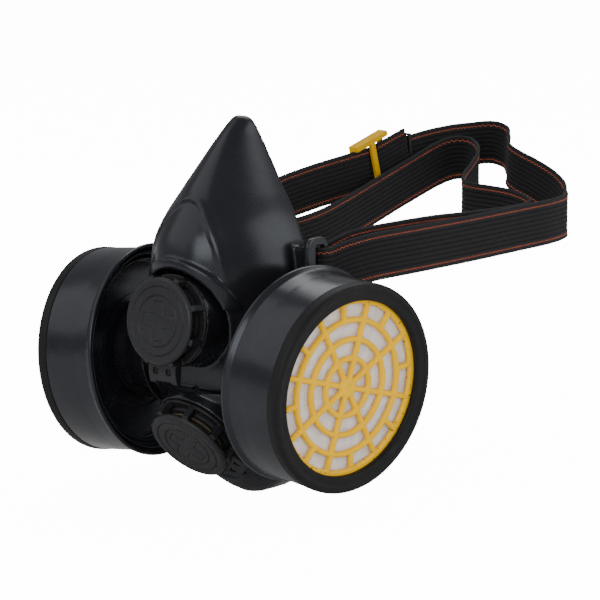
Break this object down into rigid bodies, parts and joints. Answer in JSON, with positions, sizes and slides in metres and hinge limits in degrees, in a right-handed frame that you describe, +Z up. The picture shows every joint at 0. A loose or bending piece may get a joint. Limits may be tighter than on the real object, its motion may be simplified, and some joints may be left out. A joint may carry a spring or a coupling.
{
  "type": "respirator",
  "caption": "Black half-mask respirator with twin round screw-on filter canisters, caged exhalation valves and an elastic head strap.",
  "frame": {"origin": "middle of the face opening, where the wearer's face holds the mask", "axes": "+Z up towards the nose peak, -Y out of the front of the mask, +Y back towards the face and the head strap, +X to the wearer's left, the right-hand side seen in front view"},
  "size_m": [0.1496, 0.2733, 0.1556],
  "materials": {
    "facepiece_rubber": "satin moulded rubber",
    "canister_plastic": "satin black",
    "bezel_plastic": "matte black",
    "cover_plastic": "matte dark grey",
    "valve_plastic": "matte",
    "gasket_rubber": "matte",
    "silicone": "translucent matte",
    "yellow_plastic": "satin",
    "filter_felt": "fibrous felt",
    "carbon": "granular",
    "webbing": "ribbed elastic with red stitching"
  },
  "bodies": {
    "mask_frame": {"facepiece": "facepiece_rubber", "upper_valve_seat": "valve_plastic", "lower_valve_seat": "valve_plastic", "right_port_adapter": "valve_plastic", "left_port_adapter": "valve_plastic"},
    "upper_flap": {"upper_valve_flap": "silicone"},
    "lower_flap": {"lower_valve_flap": "silicone"},
    "upper_cover": {"upper_valve_cover": "cover_plastic"},
    "lower_cover": {"lower_valve_cover": "cover_plastic"},
    "harness": {"strap_band": "webbing"},
    "buckle": {"tri_glide_buckle": "yellow_plastic", "strap_tail": "webbing", "strap_keeper": "valve_plastic"},
    "right_flap": {"right_inhalation_flap": "silicone"},
    "right_carrier": {"right_port_gasket": "gasket_rubber"},
    "right_canister": {"right_canister_cup": "canister_plastic", "right_carbon_screen": "valve_plastic", "right_carbon_bed": "carbon", "right_filter_pad": "filter_felt"},
    "right_bezel": {"right_bezel_ring": "bezel_plastic", "right_grille": "yellow_plastic"},
    "left_flap": {"left_inhalation_flap": "silicone"},
    "left_carrier": {"left_port_gasket": "gasket_rubber"},
    "left_canister": {"left_canister_cup": "canister_plastic", "left_carbon_screen": "valve_plastic", "left_carbon_bed": "carbon", "left_filter_pad": "filter_felt"},
    "left_bezel": {"left_bezel_ring": "bezel_plastic", "left_grille": "yellow_plastic"}
  },
  "joints": [
    {"name": "harness_swing", "type": "hinge", "parent": "mask_frame", "child": "harness", "pos_m": [0, 0.0005, 0.03], "axis": [1, 0, 0], "range_deg": [-6, 6]},
    {"name": "buckle_slide", "type": "slide", "parent": "harness", "child": "buckle", "axis": [0, 0.9945, 0.1044], "range_m": [-0.008, 0.008]},
    {"name": "upper_flap_lift", "type": "slide", "parent": "mask_frame", "child": "upper_flap", "axis": [0, -0.9945, 0.1045], "range_m": [0, 0.0012], "stiffness_N_per_m": 40},
    {"name": "upper_cover_pull", "type": "slide", "parent": "mask_frame", "child": "upper_cover", "axis": [0, -0.9945, 0.1045], "range_m": [0, 0.015]},
    {"name": "lower_flap_lift", "type": "slide", "parent": "mask_frame", "child": "lower_flap", "axis": [0, -0.7848, -0.6198], "range_m": [0, 0.0012], "stiffness_N_per_m": 40},
    {"name": "lower_cover_pull", "type": "slide", "parent": "mask_frame", "child": "lower_cover", "axis": [0, -0.7848, -0.6198], "range_m": [0, 0.015]},
    {"name": "right_inhalation_lift", "type": "slide", "parent": "mask_frame", "child": "right_flap", "axis": [-0.9911, 0.0989, 0.0889], "range_m": [0, 0.0012], "stiffness_N_per_m": 40},
    {"name": "right_canister_travel", "type": "slide", "parent": "mask_frame", "child": "right_carrier", "axis": [0.9911, -0.0989, -0.0889], "range_m": [0, 0.003]},
    {"name": "right_canister_turn", "type": "hinge", "parent": "right_carrier", "child": "right_canister", "pos_m": [0.0693, -0.0163, -0.0111], "axis": [0.9911, -0.0989, -0.0889], "range_deg": [0, 450]},
    {"name": "right_bezel_pull", "type": "slide", "parent": "right_canister", "child": "right_bezel", "axis": [0.9911, -0.0989, -0.0889], "range_m": [0, 0.012]},
    {"name": "left_inhalation_lift", "type": "slide", "parent": "mask_frame", "child": "left_flap", "axis": [0.9911, 0.0989, 0.0889], "range_m": [0, 0.0012], "stiffness_N_per_m": 40},
    {"name": "left_canister_travel", "type": "slide", "parent": "mask_frame", "child": "left_carrier", "axis": [-0.9911, -0.0989, -0.0889], "range_m": [0, 0.003]},
    {"name": "left_canister_turn", "type": "hinge", "parent": "left_carrier", "child": "left_canister", "pos_m": [-0.0693, -0.0163, -0.0111], "axis": [-0.9911, -0.0989, -0.0889], "range_deg": [0, 450]},
    {"name": "left_bezel_pull", "type": "slide", "parent": "left_canister", "child": "left_bezel", "axis": [-0.9911, -0.0989, -0.0889], "range_m": [0, 0.012]}
  ],
  "couplings": [
    {"joint": "right_canister_travel", "follows": "right_canister_turn", "m_per_rad": 0.00038197},
    {"joint": "left_canister_travel", "follows": "left_canister_turn", "m_per_rad": 0.00038197}
  ]
}
